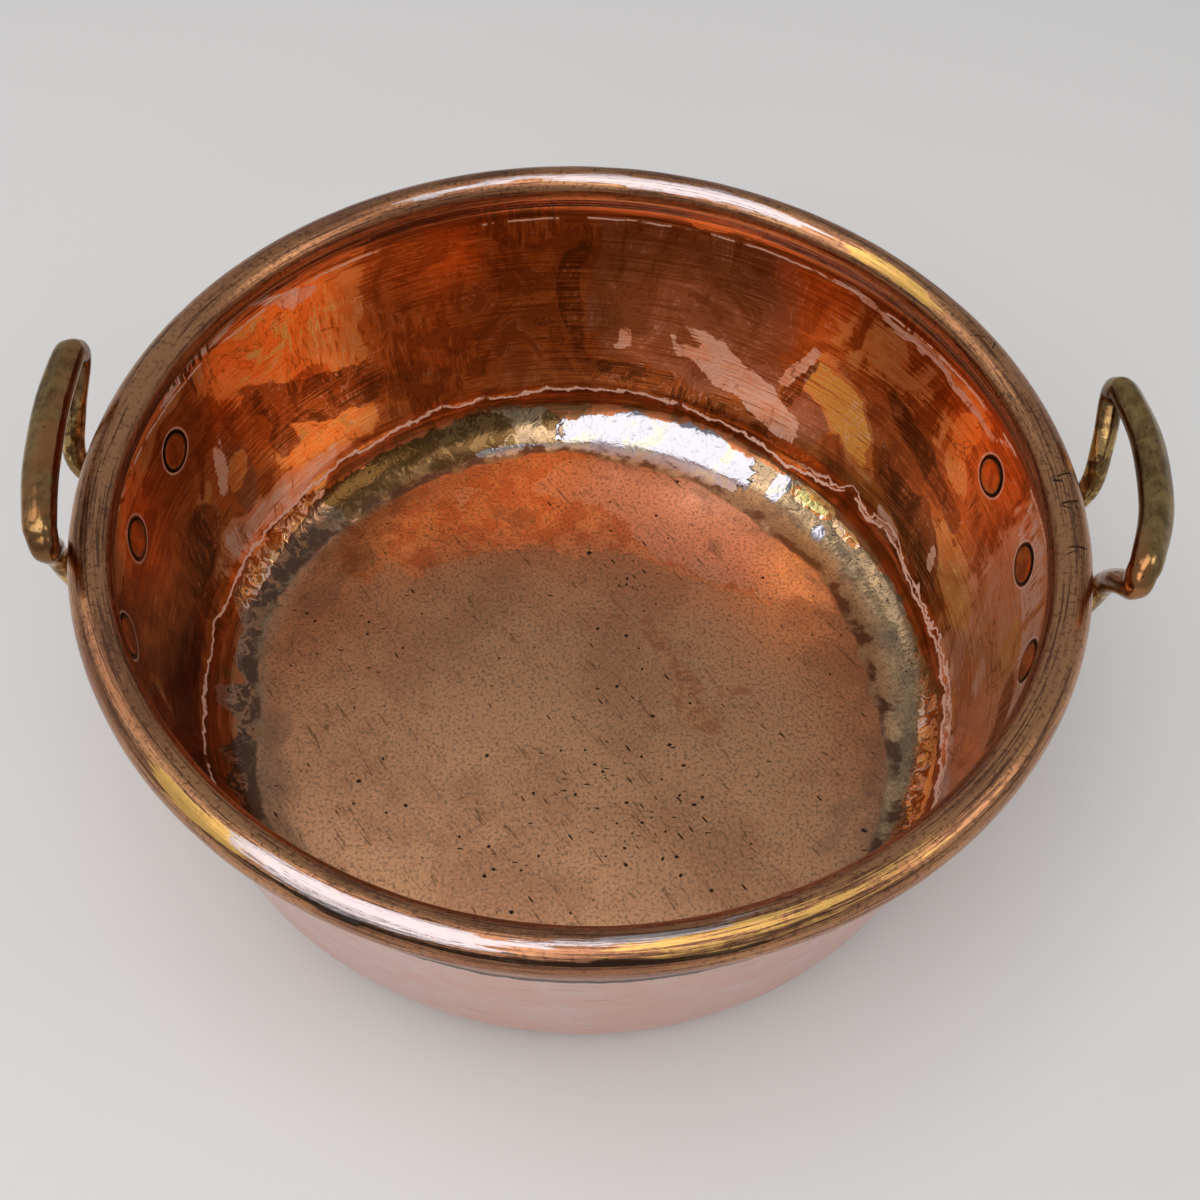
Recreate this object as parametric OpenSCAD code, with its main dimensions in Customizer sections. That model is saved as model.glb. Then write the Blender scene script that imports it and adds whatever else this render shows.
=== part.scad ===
// Copper jam pan: one raised sheet with a wired rim, and two cast handles riveted on.
// Z is up, the origin is the centre of the flat underside, and the handles lie along X.

/* [Pan] */
// Outside diameter over the rolled rim
rim_d = 400; // [360:5:440]
// Height from the table to the top of the roll
pan_h = 153; // [140:1:175]
// Diameter of the flat floor inside the cove
floor_d = 293; // [270:1:310]
// Inside radius of the cove between the floor and the wall
cove_r = 30; // [20:1:38]
// Thickness of the copper sheet
sheet_t = 1.5; // [1:0.1:2]

/* [Rolled rim] */
// Outside diameter of the roll
roll_d = 17; // [14:0.5:20]
// Clearance all round between the wire and the roll
wire_gap = 0.2; // [0.1:0.05:0.4]
// Radius of the hollow neck that leads from the wall into the roll
neck_r = 10; // [6:0.5:12]
// Width of the slit that the curled edge leaves under the roll
slit_w = 0.8; // [0.5:0.1:1.5]

/* [Handle plates] */
// Thickness of the plate cast in one with the loop
plate_t = 4.5; // [3.5:0.5:6]
// Radius of the three round lobes that take the rivets
lobe_r = 13; // [11:0.5:15]
// Half the height of the waists between the lobes
waist_h = 9; // [7.5:0.5:10]
// Clearance between the plate and the wall behind it
seat_gap = 0.1; // [0.05:0.05:0.3]

/* [Rivets] */
// Distance between neighbouring rivets, along the wall
rivet_pitch = 50; // [44:1:54]
// Depth of the rivets below the top of the roll
rivet_drop = 47; // [44:1:55]
// Diameter of the shank
shank_d = 8; // [6:0.5:10]
// Clearance all round between the shank and its holes
shank_gap = 0.1; // [0.05:0.05:0.3]
// Diameter of the flat head beaten down on the inside of the wall
flat_head_d = 17; // [14:0.5:18]
// Thickness of the flat head
flat_head_t = 0.7; // [0.4:0.1:1.2]
// Diameter of the domed head on the plate
dome_head_d = 15; // [13:0.5:18]
// Height of the domed head
dome_head_h = 3.5; // [2.5:0.5:5]

/* [Handle loops] */
// Diameter of the round legs
leg_d = 10; // [9:0.5:11]
// Diameter of the legs where they flare into the plate
foot_d = 15; // [13:0.5:17]
// Width of the oval grip, across its flatter face
grip_w = 14; // [12:0.5:17]
// Thickness of the oval grip
grip_t = 12.5; // [11:0.5:15]
// Distance between the middles of the grip's two corners
grip_l = 98; // [88:1:106]
// Radius of the bend at each corner
corner_r = 8; // [6:1:14]
// How far the elbows of the legs stand out from the rim
elbow_out = 10; // [9:0.5:14]
// Depth of the elbows below the top of the roll
elbow_drop = 25; // [20:1:28]

/* [Right handle] */
// How far the middle of the right grip stands out from the rim
right_reach = 20; // [14:0.5:28]
// Height of the right grip's middle above the top of the roll
right_rise = 15.5; // [12:0.5:22]
// How far the right grip bows out between its corners
right_bow = 9.5; // [2:0.5:12]
// Angle by which long use has turned the right loop towards the front
right_turn = 6.5; // [0:0.5:8]

/* [Left handle] */
// How far the middle of the left grip stands out from the rim
left_reach = 6.5; // [6:0.5:28]
// Height of the left grip's middle above the top of the roll
left_rise = 17; // [12:0.5:22]
// How far the left grip bows out between its corners
left_bow = 4.5; // [2:0.5:5.5]
// Angle by which long use has turned the left loop towards the front
left_turn = 6; // [0:0.5:6.5]

/* [Hidden] */
$fn = 96;

copper = "#b5683f";
iron = "#5a5552";
brass = "#a8874a";
rivet_copper = "#a65a36";

// Cutters and blanks run this far past the piece
past = 5;

// Roll and wire, in the plane of the profile
rim_r = rim_d / 2;
roll_r = roll_d / 2;
roll_c = [rim_r - roll_r, pan_h - roll_r];
wire_r = roll_r - sheet_t - wire_gap;

// The wall is the line that touches the cove and runs to the bottom of the roll
cove_c = [floor_d / 2, sheet_t + cove_r];
wall_run = roll_c - [0, roll_r] - cove_c;
wall_a = acos((cove_r + sheet_t / 2) / norm(wall_run)) - atan2(wall_run.y, wall_run.x);
along = [sin(wall_a), cos(wall_a)];
outward = [cos(wall_a), -sin(wall_a)];

// The neck is an arc that touches the inside of the wall and the outside of the roll
to_roll = roll_c - cove_c;
neck_in = cove_r - neck_r;
neck_side = to_roll * outward - neck_in;
neck_up = to_roll * along - sqrt(pow(neck_r + roll_r, 2) - pow(neck_side, 2));
neck_c = cove_c + outward * neck_in + along * neck_up;
neck_a = atan2(roll_c.y - neck_c.y, roll_c.x - neck_c.x);

// The curled edge stops where it leaves the slit beside the back of the neck
neck_to_roll = neck_r + roll_r;
slit_from_neck = neck_r + sheet_t + slit_w;
curl_gap_a = acos((pow(neck_to_roll, 2) + pow(roll_r, 2) - pow(slit_from_neck, 2))
                  / (2 * neck_to_roll * roll_r));

// Points on the wall are given by their distance along it and their distance out of its inner face
function wall_at(s, out) = cove_c + outward * (cove_r + out) + along * s;
// Radius of that same face at a given height
function wall_radius(z, out) =
    let (s = (z - cove_c.y + (cove_r + out) * sin(wall_a)) / cos(wall_a)) wall_at(s, out).x;

// Rivets stand square to the wall, one on the handle's centre line and one to each side
rivet_z = pan_h - rivet_drop;
rivet_r = wall_radius(rivet_z, sheet_t);
rivet_a = rivet_pitch / rivet_r * 180 / PI;
rivet_angles = [-rivet_a, 0, rivet_a];
plate_in = sheet_t + seat_gap;
plate_out = plate_in + plate_t;
plate_end = rivet_r + plate_out + past;

// Two flanks of each waist are arcs that touch both of the lobes beside it
lobe_y = rivet_r * sin(rivet_a);
foot_y = lobe_y / 2;
waist_r = (pow(foot_y, 2) + pow(waist_h, 2) - pow(lobe_r, 2)) / (2 * (lobe_r - waist_h));

// Legs start inside the plate, square to the wall
foot_lift = 3;
foot_z = rivet_z + foot_lift;
foot_sink = 2;
foot_out = 10;
foot_a = asin(foot_y / wall_radius(foot_z, plate_out));
foot_dir = [outward.x * cos(foot_a), outward.x * sin(foot_a), outward.y];
foot_face = wall_radius(foot_z, plate_out);
foot_top = [foot_face * cos(foot_a), foot_face * sin(foot_a), foot_z];

// How the legs swell at their ends, where the knees hang, and how the grip narrows at its ends
foot_swell = 0.5;
corner_swell = 0.3;
knee_in = 1;
knee_drop = 2;
neck_w = 0.6;
neck_t = 0.3;

// Steps round each bend of the sheet
cove_steps = 12;
neck_steps = 6;
roll_steps = 40;

// Steps along each stretch of a loop's curve, and sides of its section
loop_steps = 5;
sides = 20;

// Points of the sheet: a place on the face that starts inside the pan, and the way through the sheet
function dir(q) = [cos(q), sin(q)];
function arc(centre, r, from, to, steps, through) = [
    for (i = [0:steps])
        let (q = from + (to - from) * i / steps) [centre + dir(q) * r, dir(q) * through]
];

module pan_profile() {
    path = concat(
        [[[0, sheet_t], [0, -1]]],
        arc(cove_c, cove_r, -90, -wall_a, cove_steps, 1),
        arc(neck_c, neck_r, -wall_a, neck_a, neck_steps, 1),
        arc(roll_c, roll_r, neck_a + 180, neck_a - 180 + curl_gap_a, roll_steps, -1)
    );
    near_face = [for (p = path) p[0]];
    far_face = [for (i = [len(path) - 1:-1:0]) path[i][0] + path[i][1] * sheet_t];
    polygon(concat(near_face, far_face));
}

// Children are drawn along X, with x = 0 on the inner face of the wall, at each rivet
module at_rivets() {
    for (a = rivet_angles)
        rotate([0, 0, a]) translate([wall_radius(rivet_z, 0), 0, rivet_z])
            rotate([0, wall_a, 0]) children();
}

module rivet_holes() {
    at_rivets() translate([-past, 0, 0]) rotate([0, 90, 0])
        cylinder(h = plate_out + 2 * past, d = shank_d + 2 * shank_gap);
}

// A shell that follows the wall, between two distances out of its inner face
module wall_shell(from, to) {
    low = rivet_z - 2 * lobe_r;
    high = rivet_z + 2 * lobe_r;
    rotate_extrude()
        polygon([[wall_radius(low, from), low], [wall_radius(high, from), high],
                 [wall_radius(high, to), high], [wall_radius(low, to), low]]);
}

module pan_body() {
    color(copper) difference() {
        rotate_extrude() pan_profile();
        rivet_holes();
        mirror([1, 0, 0]) rivet_holes();
    }
}

module rim_wire() {
    color(iron) rotate_extrude() translate(roll_c) circle(r = wire_r);
}

module plate_outline() {
    for (y = [-lobe_y, 0, lobe_y])
        translate([y, rivet_z]) circle(r = lobe_r);
    difference() {
        translate([-lobe_y, rivet_z - lobe_r]) square([2 * lobe_y, 2 * lobe_r]);
        for (y = [-foot_y, foot_y], side = [-1, 1])
            translate([y, rivet_z + side * (waist_h + waist_r)]) circle(r = waist_r);
    }
}

module plate() {
    intersection() {
        wall_shell(plate_in, plate_out);
        rotate([90, 0, 90]) linear_extrude(height = plate_end) plate_outline();
    }
}

// Smooth curve through a list of points, each a position followed by its section
function curve_point(a, b, c, d, t) =
    0.5 * (2 * b + (c - a) * t + (2 * a - 5 * b + 4 * c - d) * t * t
           + (3 * b - a - 3 * c + d) * t * t * t);
function curve(p) = [
    for (i = [0:len(p) - 2], k = [0:loop_steps - 1])
        let (a = i == 0 ? 2 * p[0] - p[1] : p[i - 1],
             d = i == len(p) - 2 ? 2 * p[i + 1] - p[i] : p[i + 2])
        curve_point(a, p[i], p[i + 1], d, k / loop_steps),
    p[len(p) - 1]
];

function place(v) = [v[0], v[1], v[2]];
function unit(v) = v / norm(v);
function turned(v, a) =
    let (x = v[0] - foot_face)
    [foot_face + x * cos(a) + v[1] * sin(a), v[1] * cos(a) - x * sin(a), v[2], v[3], v[4]];

// The grip bows out from its corners to its middle, which lies at y = 0
function grip_x(y, reach, bow) = rim_r + reach - bow * pow(2 * y / grip_l, 2);

// Back half of the loop from plate to grip: position, half width, half thickness
function loop_half(reach, rise, bow, turn) =
    let (leg = leg_d / 2,
         corner = leg + corner_swell,
         grip_z = pan_h + rise,
         corner_y = grip_l / 2,
         corner_x = grip_x(corner_y, reach, bow),
         bend_w = (leg + grip_w / 2) / 2,
         bend_t = (leg + grip_t / 2) / 2,
         bend_y = corner_y - corner_r * (1 - cos(45)),
         bend_z = grip_z - corner_r * (1 - cos(45)),
         neck_y = corner_y - corner_r,
         side_y = corner_y / 3,
         elbow = [rim_r + elbow_out, foot_y, pan_h - elbow_drop],
         halfway = (elbow + [corner_x, corner_y, grip_z]) / 2,
         knee = halfway - [0, knee_in, knee_drop])
    [
        concat(foot_top - foot_dir * foot_sink, [foot_d / 2, foot_d / 2]),
        concat(foot_top + foot_dir * foot_out, [leg + foot_swell, leg + foot_swell]),
        turned(concat(elbow, [leg, leg]), turn / 2),
        turned(concat(knee, [leg, leg]), turn),
        turned([corner_x, corner_y, grip_z - corner_r, corner, corner], turn),
        turned([grip_x(bend_y, reach, bow), bend_y, bend_z, bend_w, bend_t], turn),
        turned([grip_x(neck_y, reach, bow), neck_y, grip_z, grip_w / 2 - neck_w, grip_t / 2 - neck_t], turn),
        turned([grip_x(side_y, reach, bow), side_y, grip_z, grip_w / 2, grip_t / 2], turn)
    ];

function front(v) = [v[0], -v[1], v[2], v[3], v[4]];

// Rings of points round the loop, each square to the curve, wide face turned to the loop's middle
function ring_at(path, i, middle) =
    let (p = place(path[i]),
         ahead = place(path[min(i + 1, len(path) - 1)]),
         behind = place(path[max(i - 1, 0)]),
         t = unit(ahead - behind),
         away = p - middle,
         n = unit(away - t * (away * t)),
         b = cross(t, n))
    [for (k = [0:sides - 1])
        let (q = 360 * k / sides) p + n * path[i][4] * cos(q) + b * path[i][3] * sin(q)];

module swept(path, middle) {
    rings = [for (i = [0:len(path) - 1]) ring_at(path, i, middle)];
    last = len(path) - 1;
    points = [for (r = rings, p = r) p];
    walls = [
        for (i = [0:last - 1], k = [0:sides - 1])
            let (a = i * sides + k, b = i * sides + (k + 1) % sides)
            each [[a, b + sides, b], [a, a + sides, b + sides]]
    ];
    first_cap = [for (k = [0:sides - 1]) k];
    last_cap = [for (k = [sides - 1:-1:0]) last * sides + k];
    polyhedron(points = points, faces = concat([first_cap], walls, [last_cap]));
}

module loop(reach, rise, bow, turn) {
    half = loop_half(reach, rise, bow, turn);
    front_half = loop_half(reach, rise, bow, -turn);
    n = len(half);
    whole = concat(half, [for (i = [n - 1:-1:0]) front(front_half[i])]);
    middle = [rim_r, 0, pan_h - elbow_drop / 2];
    swept(curve(whole), middle);
}

module handle(reach, rise, bow, turn) {
    color(brass) difference() {
        union() {
            plate();
            loop(reach, rise, bow, turn);
        }
        rivet_holes();
    }
}

// One rivet, drawn upright with the inner face of the wall at height zero
module rivet() {
    flat_r = flat_head_d / 2;
    hollow = rivet_r - sqrt(pow(rivet_r, 2) - pow(flat_r, 2)) + seat_gap;
    seat = plate_out + seat_gap;
    dome_r = (pow(dome_head_d / 2, 2) + pow(dome_head_h, 2)) / (2 * dome_head_h);
    rotate_extrude() {
        translate([0, -hollow - flat_head_t]) square([flat_r, flat_head_t]);
        translate([0, -hollow - flat_head_t / 2])
            square([shank_d / 2, hollow + flat_head_t / 2 + seat + dome_head_h / 2]);
        intersection() {
            translate([0, seat + dome_head_h - dome_r]) circle(r = dome_r);
            translate([0, seat]) square([dome_head_d, dome_head_h]);
        }
    }
}

module rivets() {
    color(rivet_copper) at_rivets() rotate([0, 90, 0]) rivet();
}

module right_handle() {
    handle(right_reach, right_rise, right_bow, right_turn);
}

module left_handle() {
    mirror([1, 0, 0]) handle(left_reach, left_rise, left_bow, left_turn);
}

module right_handle_rivets() {
    rivets();
}

module left_handle_rivets() {
    mirror([1, 0, 0]) rivets();
}

pan_body();
rim_wire();
left_handle();
right_handle();
left_handle_rivets();
right_handle_rivets();
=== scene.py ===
import math
from types import SimpleNamespace

import bmesh
import bpy
from mathutils import Matrix, Vector, noise


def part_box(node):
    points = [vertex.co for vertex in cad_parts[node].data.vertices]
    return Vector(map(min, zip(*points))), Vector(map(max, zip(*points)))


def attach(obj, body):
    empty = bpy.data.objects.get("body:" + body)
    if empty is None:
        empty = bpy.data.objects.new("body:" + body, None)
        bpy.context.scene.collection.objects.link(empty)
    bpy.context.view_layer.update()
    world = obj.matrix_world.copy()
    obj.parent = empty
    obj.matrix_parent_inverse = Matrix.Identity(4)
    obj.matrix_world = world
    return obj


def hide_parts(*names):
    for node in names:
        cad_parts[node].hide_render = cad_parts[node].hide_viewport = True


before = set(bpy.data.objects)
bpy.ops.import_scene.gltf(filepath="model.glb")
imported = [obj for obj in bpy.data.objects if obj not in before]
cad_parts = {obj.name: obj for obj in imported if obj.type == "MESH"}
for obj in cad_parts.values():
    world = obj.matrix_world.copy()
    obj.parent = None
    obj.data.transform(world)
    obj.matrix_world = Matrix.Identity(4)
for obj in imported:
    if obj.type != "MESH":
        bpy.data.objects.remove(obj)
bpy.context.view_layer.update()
# Noise vectors follow the clock unless a seed is set, and every run has to give the same pan
noise.seed_set(1)

# Sizes that the frame gives, in metres
pan_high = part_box("pan_body")[1]
wire_low, wire_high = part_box("rim_wire")
RIM_R = pan_high.x
WIRE_R = (wire_high.z - wire_low.z) / 2
ROLL_Z = (wire_high.z + wire_low.z) / 2
ROLL_X = wire_high.x - WIRE_R
ROLL_R = pan_high.z - ROLL_Z

# Sizes of the sheet, as in the part's source
FLOOR_R = 0.1465
COVE_R = 0.030
SHEET = 0.0015
NECK_R = 0.010
SLIT = 0.0008

# Sizes of the plates and rivets
SEAT_GAP = 0.0001
PLATE_T = 0.0045
LOBE_R = 0.013
WAIST_H = 0.009
RIVET_PITCH = 0.050
RIVET_Z = pan_high.z - 0.047
SHANK_R = 0.004
FLAT_HEAD_R = 0.0085
FLAT_HEAD_T = 0.0007
DOME_HEAD_R = 0.0075
DOME_HEAD_H = 0.0035

# Sizes of the loops, shared by both handles
LEG_R = 0.005
FOOT_R = 0.0075
GRIP_W = 0.014
GRIP_T = 0.0125
GRIP_L = 0.098
CORNER_R = 0.008
ELBOW_OUT = 0.010
ELBOW_DROP = 0.025

# How far each loop stands out and up, bows, and is turned by use
LOOPS = {
    "right_handle": {"side": 1, "reach": 0.020, "rise": 0.0155, "bow": 0.0095, "turn": 6.5},
    "left_handle": {"side": -1, "reach": 0.0065, "rise": 0.017, "bow": 0.0045, "turn": 6.0},
}

# The wall is the line that touches the cove and runs to the bottom of the roll
COVE_C = Vector((FLOOR_R, SHEET + COVE_R))
ROLL_C = Vector((ROLL_X, ROLL_Z))
wall_run = ROLL_C - Vector((0, ROLL_R)) - COVE_C
WALL_A = math.acos((COVE_R + SHEET / 2) / wall_run.length) - math.atan2(wall_run.y, wall_run.x)
ALONG = Vector((math.sin(WALL_A), math.cos(WALL_A)))
OUTWARD = Vector((math.cos(WALL_A), -math.sin(WALL_A)))

# The neck is an arc that touches the inside of the wall and the outside of the roll
to_roll = ROLL_C - COVE_C
neck_side = to_roll.dot(OUTWARD) - (COVE_R - NECK_R)
neck_up = to_roll.dot(ALONG) - math.sqrt((NECK_R + ROLL_R) ** 2 - neck_side ** 2)
NECK_C = COVE_C + OUTWARD * (COVE_R - NECK_R) + ALONG * neck_up
NECK_A = math.atan2(ROLL_C.y - NECK_C.y, ROLL_C.x - NECK_C.x)
neck_to_roll = NECK_R + ROLL_R
slit_from_neck = NECK_R + SHEET + SLIT
gap_cosine = (neck_to_roll ** 2 + ROLL_R ** 2 - slit_from_neck ** 2) / (2 * neck_to_roll * ROLL_R)
CURL_GAP_A = math.acos(gap_cosine)

# Distances along the sheet at which floor, cove, wall, neck and roll end
COVE_TURN = math.pi / 2 - WALL_A
NECK_TURN = WALL_A + NECK_A
ROLL_TURN = 2 * math.pi - CURL_GAP_A
FLOOR_END = FLOOR_R
COVE_END = FLOOR_END + COVE_R * COVE_TURN
WALL_END = COVE_END + neck_up
NECK_END = WALL_END + NECK_R * NECK_TURN
ROLL_END = NECK_END + ROLL_R * ROLL_TURN


def heading(angle):
    return Vector((math.cos(angle), math.sin(angle)))


def sheet_at(s):
    """Point of the sheet's near face at a distance along it, and the way through the sheet."""
    if s < FLOOR_END:
        return Vector((s, SHEET)), Vector((0, -1))
    if s < COVE_END:
        way = heading(-math.pi / 2 + (s - FLOOR_END) / COVE_R)
        return COVE_C + way * COVE_R, way
    if s < WALL_END:
        return COVE_C + OUTWARD * COVE_R + ALONG * (s - COVE_END), OUTWARD
    if s < NECK_END:
        way = heading(-WALL_A + (s - WALL_END) / NECK_R)
        return NECK_C + way * NECK_R, way
    way = heading(NECK_A + math.pi - (s - NECK_END) / ROLL_R)
    return ROLL_C + way * ROLL_R, -way


def wall_radius(z, out):
    """Radius of the wall at a height, at a distance out of its inner face."""
    s = (z - COVE_C.y + (COVE_R + out) * math.sin(WALL_A)) / math.cos(WALL_A)
    return (COVE_C + OUTWARD * (COVE_R + out) + ALONG * s).x


RIVET_R = wall_radius(RIVET_Z, SHEET)
RIVET_A = RIVET_PITCH / RIVET_R
PLATE_IN = SHEET + SEAT_GAP
PLATE_OUT = PLATE_IN + PLATE_T
LOBE_Y = RIVET_R * math.sin(RIVET_A)
FOOT_Y = LOBE_Y / 2


def smooth_step(low, high, value):
    t = min(max((value - low) / (high - low), 0), 1)
    return t * t * (3 - 2 * t)


def bump_at(centre, reach, value):
    """Smooth bump of height one round a centre, gone at the reach on either side."""
    return smooth_step(reach, 0, abs(value - centre))


RIDGE_H = 0.00022
RIDGE_REACH = 0.0030
WAVE_H = 0.00040
WAVE_SIZE = 0.060
RIPPLE_H = 0.00022
RIPPLE_SIZE = 0.024

# Distances along the sheet of the crease below the neck and of the roll's top
NECK_CREASE = FLOOR_END + 0.1428
ROLL_TOP = NECK_END + ROLL_R * (NECK_A + math.pi / 2)

# Lines that run round the sheet: bearing in degrees and distance along the sheet in millimetres
FLOOR_LINE = [
    (-90, 152), (-35, 157), (-22, 154), (-15, 151), (-10, 147), (-5, 145), (0, 142), (15, 140), (22, 139), (30, 142),
    (38, 137), (45, 137), (52, 139), (60, 141), (65, 143), (78, 143), (85, 144), (92, 149), (110, 148), (130, 149),
    (137, 151), (150, 154), (170, 157), (180, 153), (187, 150), (200, 155), (210, 158), (240, 152), (270, 152),
]
COVE_LINE = [
    (-90, 172), (-35, 172), (-20, 171), (-12, 174), (-5, 176), (0, 173), (8, 170), (30, 168), (38, 167), (50, 171),
    (58, 168), (63, 173), (80, 173), (86, 171), (92, 167), (98, 174), (108, 177), (118, 174), (137, 173), (145, 179),
    (163, 180), (168, 178), (172, 165), (178, 166), (182, 158), (184, 172), (187, 174), (189, 163), (193, 162),
    (196, 171), (199, 165), (202, 173), (206, 167), (212, 168), (240, 172), (270, 172),
]
CREASE_LINE = [
    (-90, 183), (-35, 181), (-25, 181), (-15, 176), (-5, 178), (0, 178), (5, 180), (12, 178), (20, 179), (28, 185),
    (33, 181), (38, 183), (42, 179), (50, 176), (55, 177), (62, 180), (72, 182), (80, 184), (92, 185), (100, 183.5),
    (110, 182.5), (118, 184), (130, 181), (135, 182), (145, 180), (160, 182), (168, 180), (200, 180), (240, 183),
    (270, 183),
]


def bearing_of(point):
    """Bearing of a point in degrees, from -90 to 270."""
    return (math.degrees(math.atan2(point.y, point.x)) + 90) % 360 - 90


def line_at(line, bearing):
    """Second value of a line, turned to metres, at a first value."""
    for (low, before), (high, after) in zip(line, line[1:]):
        if bearing <= high:
            return (before + (after - before) * (bearing - low) / (high - low)) / 1000
    return line[-1][1] / 1000


def blows(point, size, depth):
    """Shallow dishes that a planishing hammer leaves, with low ridges between them."""
    nearest = noise.voronoi(point / size)[0][0]
    return min(nearest * nearest, 1) * depth


def sheet_dent(point, s):
    """How far the sheet is pushed outward, through its own thickness, at a point of its near face."""
    wave = noise.noise(point / WAVE_SIZE) * WAVE_H + noise.noise(point / RIPPLE_SIZE) * RIPPLE_H
    if s < FLOOR_END:
        rim = smooth_step(FLOOR_END, FLOOR_END - 0.03, s)
        return -(abs(wave) * 0.5 + blows(point, 0.014, 0.00006)) * rim
    if s < WALL_END:
        cove = smooth_step(COVE_END + 0.010, COVE_END - 0.010, s)
        up = smooth_step(FLOOR_END, FLOOR_END + 0.008, s) * smooth_step(WALL_END, WALL_END - 0.008, s)
        seat = bump_at(RIVET_Z, 0.026, point.z) * bump_at(0, 0.085, point.y) * smooth_step(0.1, 0.17, abs(point.x))
        hammered = blows(point, 0.018, 0.00012) * (1 - cove) + blows(point, 0.011, 0.00020) * cove
        hammered += noise.noise(point / 0.009) * 0.00008 * cove
        ridges = bump_at(line_at(CREASE_LINE, bearing_of(point)), RIDGE_REACH, s) + bump_at(NECK_CREASE, RIDGE_REACH, s)
        return (wave + hammered - ridges * RIDGE_H) * up * (1 - 0.9 * seat)
    on_roll = smooth_step(WALL_END, NECK_END, s)
    return (abs(wave) * 0.5 + blows(point, 0.011, 0.00012)) * on_roll


# Patches of the wall and cove, which paint reflected light and shade into the colour: bearing in degrees, distance
# along the sheet, half the length and half the width in millimetres, tilt in degrees, strength. Lengths round the pan
# are told at the patch radius.
PATCH_R = 183
# Glow patches: painted bright reflections, among them golden glints in the cove
WALL_GLOW = [
    (140, 272, 46, 24, 0, 1.15), (129, 246, 12, 20, 0, 1.0), (137, 205, 36, 15, 12, 1.1), (155, 229, 8, 8, 0, 1.0),
    (38, 264, 40, 22, 10, 0.62), (43, 222, 31, 11, 38, 1.9), (13, 211, 27, 12, 16, 1.0), (22, 268, 9, 24, -20, 0.92),
    (197, 232, 3, 14, 12, 0.9), (180, 284, 36, 3, -8, 1.0), (166, 222, 5, 30, 30, 0.6), (-10, 256, 14, 26, 10, 0.6),
    (138, 294, 42, 5, 0, 1.15), (182, 287, 100, 4, 0, 0.95), (180, 302, 170, 10, 0, 1.1), (70, 295, 20, 4, 0, 0.9),
    (30, 292, 40, 3, -3, 0.9), (200, 252, 12, 4, 50, 0.7),
    (250, 250, 60, 26, 10, 0.8), (285, 215, 40, 14, -15, 0.9), (320, 268, 50, 12, 6, 0.8),
    (155, 174, 46, 6, -6, 0.85), (-14, 169, 44, 6, 0, 0.8), (43, 167, 15, 5, 0, 1.3), (34, 166, 12, 3, 0, 0.9),
    (300, 168, 60, 4, 0, 0.9), (235, 166, 40, 4, 4, 0.9),
]
# Pale patches: painted highlights, among them the cove's silvery highlight and the lines along the creases
WALL_PALE = [
    (62, 210, 40, 11, 22, 1.2), (73, 218, 10, 7, 10, 0.9), (83, 220, 4, 9, 20, 0.9), (53, 234, 5, 15, 22, 1.0),
    (150, 189, 52, 6, 0, 0.85), (-16, 272, 70, 14, 0, 0.62), (-8, 222, 12, 8, 50, 0.7), (28, 183, 10, 6, 0, 1.0),
    (-5, 182, 26, 4, 0, 0.8), (158, 236, 5, 19, 10, 0.6), (265, 232, 34, 8, 12, 0.9), (18, 196, 8, 5, 40, 0.6),
    (75, 159, 56, 15.5, 0, 1.6), (101, 152, 34, 3, 4, 1.2), (90, 165, 12, 7, 30, 0.9), (50, 162, 6, 9, 0, 0.95),
    (34, 289, 66, 2.2, -2, 1.15), (147, 290, 46, 2.2, 0, 1.05), (38, 156, 5, 4, 30, 0.95), (-20, 186, 40, 5, 0, 0.7),
]
# Dark patches: tarnish, darkened further as painted shade, olive in the cove
WALL_DARK = [
    (137, 230, 44, 12, 26, 1.25), (145, 219, 10, 12, 0, 0.9), (72, 193, 66, 7, 6, 0.9), (108, 232, 50, 46, 0, 0.42),
    (169, 211, 22, 16, -35, 0.95), (24, 200, 38, 13, 28, 1.0), (28, 240, 34, 9, 20, 0.95), (190, 204, 40, 13, 5, 0.9),
    (52, 226, 4, 18, 24, 1.0), (204, 250, 20, 30, 0, 0.7), (92, 240, 6, 46, 0, 0.8), (186, 262, 50, 10, 0, 0.6),
    (123, 165, 58, 13, 0, 1.25), (95, 168, 10, 8, 0, 0.7), (225, 220, 50, 18, 12, 0.8), (275, 262, 46, 22, -8, 0.8),
    (335, 240, 40, 12, 20, 0.8),
]
# Tints: mauve, and rose that paints reflected light, most of all on the right wall
WALL_MAUVE = [(73, 245, 52, 46, 0, 1.2), (155, 222, 9, 22, 0, 0.9), (50, 214, 14, 30, 20, 0.8)]
WALL_ROSE = [(-14, 225, 66, 70, 0, 1.3), (150, 190, 60, 9, 0, 1.0), (-30, 290, 90, 12, 0, 1.0)]
# Painted golden glow, painted highlights and a painted dark reflection line on the roll, told in the same way, with
# distances past the roll's top
ROLL_GLOW = [(43, -5.6, 26, 2.6, 0, 1.0), (230, 4.6, 22, 2.8, 0, 1.1), (290, 2.6, 60, 4.5, 0, 0.55)]
ROLL_PALE = [
    (76, -5.3, 60, 2.5, 0, 1.2), (106, -4.3, 44, 1.0, 0, 1.0), (248, 3.1, 42, 3.2, 0, 1.2),
    (274, -0.3, 40, 1.5, -3.5, 0.85),
]
ROLL_BLACK = [(262, 7.2, 84, 0.9, 0, 1.2)]
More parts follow.
